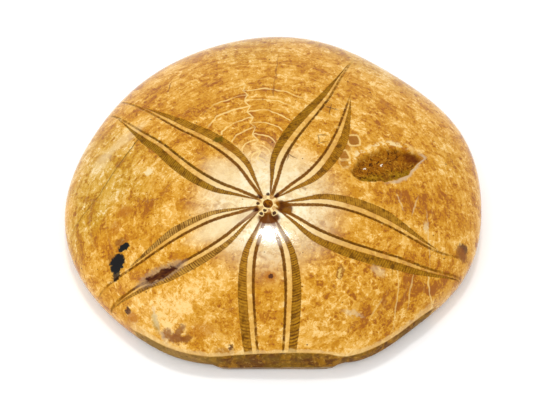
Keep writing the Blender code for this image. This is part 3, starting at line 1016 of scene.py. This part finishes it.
def dent_marks(place, flat, wobble, colour):
    """Rough golden floor of the worn dent with two painted glints, its pale rim, and the dark core of the
    petal's hollow.
    """
    inside = add(measure("dent"), mul(wobble, 0.5))
    centred = away_from(place, *DENT_CENTRE)
    leaning, eastward = dot(centred, (0.35, -0.94, 0)), dot(centred, (0.8, -0.6, 0))
    lower = step(add(leaning, mul(wobble, 1.5)), 0.4, 2)
    soft = step(leaning, 1.5, -0.5, 0.35, 1.5)
    cover = step(calc("DIVIDE", inside, soft), -0.2, 0.8)
    grit = noise(place, 0.85, 220, 5, 0.75, 1.6)
    lumps = noise(place, 1.1, 230, 3, 0.6, 0.5)
    floor = mix(lower, (160, 100, 22), (156, 116, 34))
    floor = lay(floor, (138, 84, 14), lumps, 0.45, 0.6, 0, 0.8)
    floor = mix(mul(step(grit, 0.54, 0.6), 0.75), floor, (206, 154, 58))
    floor = mix(mul(step(grit, 0.47, 0.4), 0.9), floor, (66, 42, 6))
    floor = painted(flat, (25.3, 1.2, 1.8, 1.2, 10, (104, 54, 8), 0.8, 0.8), floor)
    rim = mul(step(inside, -0.8, -0.2), step(inside, 0.15, -0.1), step(eastward, 1.6, 3.4))
    colour = mix(mul(rim, 0.8), colour, (204, 176, 142))
    above = mul(step(inside, -1.8, -0.8), step(inside, -0.1, -0.5), step(leaning, -0.5, -1.6))
    above = mul(above, step(lumps, 0.5, 0.56), step(eastward, 1.5, -2, 0.25, 1))
    colour = mix(mul(above, 0.85), colour, (250, 222, 160))
    colour = mix(cover, colour, floor)
    # Two painted glints: small near-white spots on the dent's floor
    for x, y in ((19.4, -1.4), (16.2, -2.8)):
        colour = painted(flat, (x, y, 0.32, 0.2, 40, (255, 240, 214), 1, 0.3), colour)
    far = from_spot(flat, (-19.6, -23.3, 4.6, 1.25, 15))
    colour = mix(mul(step(far, 1.2, 0.75), 0.6), colour, (168, 142, 118))
    streaky = noise(vector("MULTIPLY", place, (0.5, 1.6, 1)), 0.9, 235, 4, 0.7, 0.4)
    core = mul(step(add(far, mul(sub(streaky, 0.5), 0.9)), 0.8, 0.5), 0.95)
    dark = mix(step(streaky, 0.4, 0.6), (66, 24, 8), (104, 62, 30))
    return mix(core, colour, dark), cover, core


def wall_marks(place, colour, wobble):
    """Brown and olive walls below the crest, their darkness partly painted shade, with dark smears under
    the crest; a painted highlight along the crest, a grey line along the foot and a painted contact
    shadow at the walls' bottom.
    """
    east, _, height = parts(place)
    wall, crest = measure("wall"), measure("crest")
    streak = noise(vector("MULTIPLY", place, (1, 1, 0.5)), 1.5, 240, 5, 0.68, 0.6)
    # The walls' brown and olive: partly the stone's own colour, partly painted shade, darker because they
    # face away from the light
    wall_tint_and_shade = mix(step(streak, 0.4, 0.58), (160, 112, 38), (104, 66, 10))
    left = step(east, -7, -16, 0, 0.6)
    wall_tint_and_shade = mix(left, wall_tint_and_shade, (168, 136, 84))
    grit = noise(place, 0.7, 245, 4, 0.7, 0.5)
    wall_tint_and_shade = lay(wall_tint_and_shade, (72, 46, 8), grit, 0.46, 0.36, 0, 0.7)
    wall_tint_and_shade = lay(wall_tint_and_shade, (214, 170, 92), grit, 0.56, 0.64, 0, 0.5)
    olive = step(noise(place, 4, 250), 0.45, 0.6, 0, 0.4)
    wall_tint_and_shade = mix(olive, wall_tint_and_shade, (130, 104, 40))
    upright = join(add(east, wobble), add(height, mul(wobble, 0.5)))
    for x, z, length, width in ((-3, 6.4, 2, 0.55), (1.5, 6.6, 0.8, 0.5)):
        wall_tint_and_shade = painted(upright, (x, z, length, width, 4, (58, 36, 8), 0.9, 0.5), wall_tint_and_shade)
    cover = mul(wall, step(add(crest, mul(wobble, 0.6)), 0.1, 0.6))
    # Painted highlight: a pale line along the crest on the dome's side
    rim = mul(step(add(measure("from_edge"), wobble), 0.5, 0.2), crest, rest(wall))
    colour = mix(mul(rim, 0.5), colour, (240, 206, 140))
    colour = mix(mul(cover, 0.96), colour, wall_tint_and_shade)
    line = mul(wall, step(height, 1.15, 0.9), step(height, 0.45, 0.65))
    colour = mix(mul(line, 0.6), colour, (190, 178, 160))
    # Painted shadow: a dark band at the bottom of the walls where they meet the floor
    under = mul(wall, step(height, 0.6, 0.3), rest(measure("sole")))
    return mix(mul(under, 0.6), colour, (96, 74, 52)), cover


# The most polished part of the dome, in front of the disc, where the key light's highlight falls; its
# colour is painted paler there too, as a painted highlight glow
POLISH_AND_HIGHLIGHT = (-0.4, -18.4, 3, 2, 0)


def fossil_material():
    place = vector("MULTIPLY", node("TexCoord").outputs["Object"], 1 / MM)
    level = vector("MULTIPLY", place, (1, 1, 0))
    plan = away_from(level, *APEX)
    from_apex = vector("LENGTH", plan)
    wobble = sub(noise(place, 0.9, 260, 3, 0.6), 0.5)
    fine = sub(noise(place, 0.45, 265, 3, 0.6), 0.5)
    bent = mul(sub(noise(place, 1.6, 270), 0.5), 0.9)
    flat = vector("ADD", level, join(bent, bent))
    ragged = vector("ADD", level, join(add(wobble, fine), sub(wobble, fine)))
    plates, seams = sutures(place, flat, from_apex)
    shift = add(plates, network(place, flat), measure("shade"))
    colour = ground(place, plan, from_apex, shift)
    below = colour
    colour = mix(seams, colour, SUTURE)
    specks = step(cells(place, 2.4, "F1", "Distance"), 0.075, 0.05, 0, 0.8)
    specks = mul(specks, step(random(cells(place, 2.4, "F1", "Position")), 0.5, 0.55))
    colour = mix(specks, colour, UMBER)
    # Greenish tint, along the back margin a painted rim glow
    colour = mix(measure("sage_and_rim_glow"), colour, SAGE_AND_RIM_GLOW, "MULTIPLY")
    # Pale cream patches, round the disc a painted sheen
    colour = mix(measure("chalk_and_sheen"), colour, CHALK_AND_SHEEN)
    near = vector("ADD", level, join(mul(wobble, 0.4), mul(fine, 0.5)))
    colour = framed_cells(near, colour)
    for seam in SEAMS:
        colour = painted(flat, seam_spot(seam), colour)
    colour, band, line = petal_marks(place, from_apex, colour, mul(fine, 2))
    for spot in STAINS:
        colour = painted(ragged, spot, colour)
    colour = disc_marks(near, wobble, colour)
    polish_and_highlight = step(from_spot(ragged, POLISH_AND_HIGHLIGHT), 1.3, 0.6)
    # Painted highlight: a pale glow painted where the key light is reflected
    colour = mix(mul(polish_and_highlight, 0.45), colour, (248, 230, 204))
    colour, dent, core = dent_marks(place, ragged, wobble, colour)
    colour, wall = wall_marks(place, colour, wobble)
    sole = measure("sole")
    below = mix(0.35, below, (196, 160, 92))
    below = lay(below, (124, 80, 20), dot(place, (0, 0, 1)), 0.7, 2.4, 0, 0.7)
    colour = lay(colour, below, sole, 0.3, 0.7)
    band, line = mul(band, rest(polish_and_highlight)), mul(line, rest(polish_and_highlight))
    dull = high(band, line, dent, core, measure("pit"), wall, sole)
    rough = step(noise(place, 3, 280, 3, 0.6), 0.3, 0.7, 0.09, 0.16)
    grain = node("Bump")
    feed(grain.inputs["Strength"], 0.3)
    feed(grain.inputs["Distance"], 0.06 * MM)
    feed(grain.inputs["Height"], noise(place, 0.35, 300, 3, 0.6))
    looks = {
        "Base Color": colour,
        "Roughness": high(rough, mul(dull, 0.5)),
        "Specular IOR Level": mul(step(dull, 0, 0.6, 1, 0.2), step(polish_and_highlight, 0, 1, 0.22, 0.85)),
        "IOR": 1.45,
        "Normal": grain.outputs["Normal"],
    }
    for name, value in looks.items():
        feed(TREE.nodes["Principled BSDF"].inputs[name], value)
    return STONE


def plain_material(name, colour, roughness):
    material = bpy.data.materials.new(name)
    material.use_nodes = True
    inputs = material.node_tree.nodes["Principled BSDF"].inputs
    inputs["Base Color"].default_value = colour
    inputs["Roughness"].default_value = roughness
    return material


def build_floor():
    mesh = bpy.data.meshes.new("floor")
    half = 1.5
    corners = [(-half, -half, 0), (half, -half, 0), (half, half, 0), (-half, half, 0)]
    mesh.from_pydata(corners, [], [(0, 1, 2, 3)])
    mesh.materials.append(plain_material("pale_floor", (0.95, 0.95, 0.95, 1), 0.7))
    return placed("floor", mesh)


TARGET = np.array([-1.27, -2.89, 6])
ELEVATION = 56
CAMERA_DISTANCE = 420
LENS = 156
WORLD_STRENGTH = 1.12


def build_camera():
    data = bpy.data.cameras.new("camera")
    data.lens = LENS
    camera = placed("camera", data)
    lift = radians(ELEVATION)
    back = np.array([0, -cos(lift), sin(lift)]) * CAMERA_DISTANCE
    camera.location = (TARGET + back) * MM
    camera.rotation_euler = (pi / 2 - lift, 0, 0)
    bpy.context.scene.camera = camera


def area_light(name, width, depth, power, azimuth, elevation, distance):
    """A soft panel looking at the test; azimuth counts from +X, lengths in metres."""
    data = bpy.data.lights.new(name, "AREA")
    data.shape = "RECTANGLE"
    data.size = width
    data.size_y = depth
    data.energy = power
    light = placed(name, data)
    turn, lift = radians(azimuth), radians(elevation)
    level = distance * cos(lift)
    light.location = (level * cos(turn), level * sin(turn), distance * sin(lift))
    light.rotation_euler = (pi / 2 - lift, 0, turn + pi / 2)


def build_lights():
    world = bpy.data.worlds.new("studio")
    world.use_nodes = True
    background = world.node_tree.nodes["Background"]
    background.inputs["Color"].default_value = (1, 1, 1, 1)
    background.inputs["Strength"].default_value = WORLD_STRENGTH
    bpy.context.scene.world = world
    area_light("key", 0.12, 0.075, 1.6, 92, 78, 0.9)
    area_light("fill", 0.7, 0.7, 1.8, 215, 24, 1)


test = build_test()
test.data.materials.append(fossil_material())
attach(test, "root")
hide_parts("test")
build_floor()
build_camera()
build_lights()
bpy.context.scene.view_settings.view_transform = "Standard"
